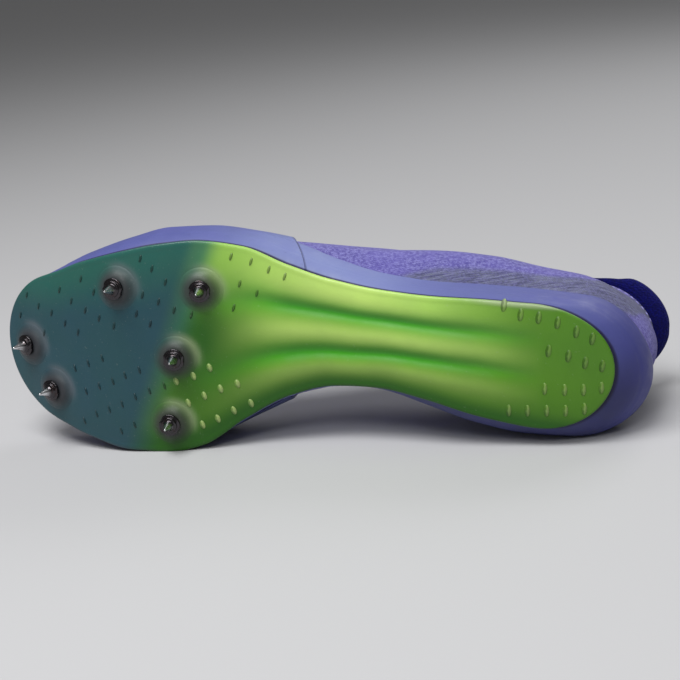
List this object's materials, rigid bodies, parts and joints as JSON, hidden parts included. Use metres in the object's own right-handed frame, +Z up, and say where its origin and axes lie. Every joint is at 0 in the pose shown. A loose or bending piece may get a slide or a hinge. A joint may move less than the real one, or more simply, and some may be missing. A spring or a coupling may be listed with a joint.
{
  "type": "track spike shoe",
  "caption": "Left running spike shoe lying on its side: full-length moulded plate with screw-in pins, foam midsole, knit upper, padded heel tab and flat laces.",
  "frame": {"origin": "middle of the bounding box in plan, on the floor that the medial side lies on", "axes": "-X towards the toe, +X towards the heel; -Y is the way the sole faces, +Y the way the laces face; +Z up, towards the lateral side"},
  "size_m": [0.2778, 0.0906, 0.09],
  "materials": {
    "plate_gloss": "glossy moulded nylon, teal at the toe fading to green",
    "foam_violet": "smooth matt moulded foam",
    "knit_violet": "speckled engineered knit",
    "insole_navy": "matt textile over foam",
    "lining_navy": "soft padded lining",
    "rand_film": "smooth welded film",
    "lace_violet": "woven flat lace",
    "spike_steel": "turned steel"
  },
  "bodies": {
    "root": {"outsole_plate": "plate_gloss", "midsole": "foam_violet", "upper": "knit_violet", "insole": "insole_navy", "tongue": "knit_violet", "collar": "lining_navy", "toe_rand": "rand_film", "lace": "lace_violet", "spike_1": "spike_steel", "spike_2": "spike_steel", "spike_3": "spike_steel", "spike_4": "spike_steel", "spike_5": "spike_steel", "spike_6": "spike_steel"}
  },
  "joints": []
}
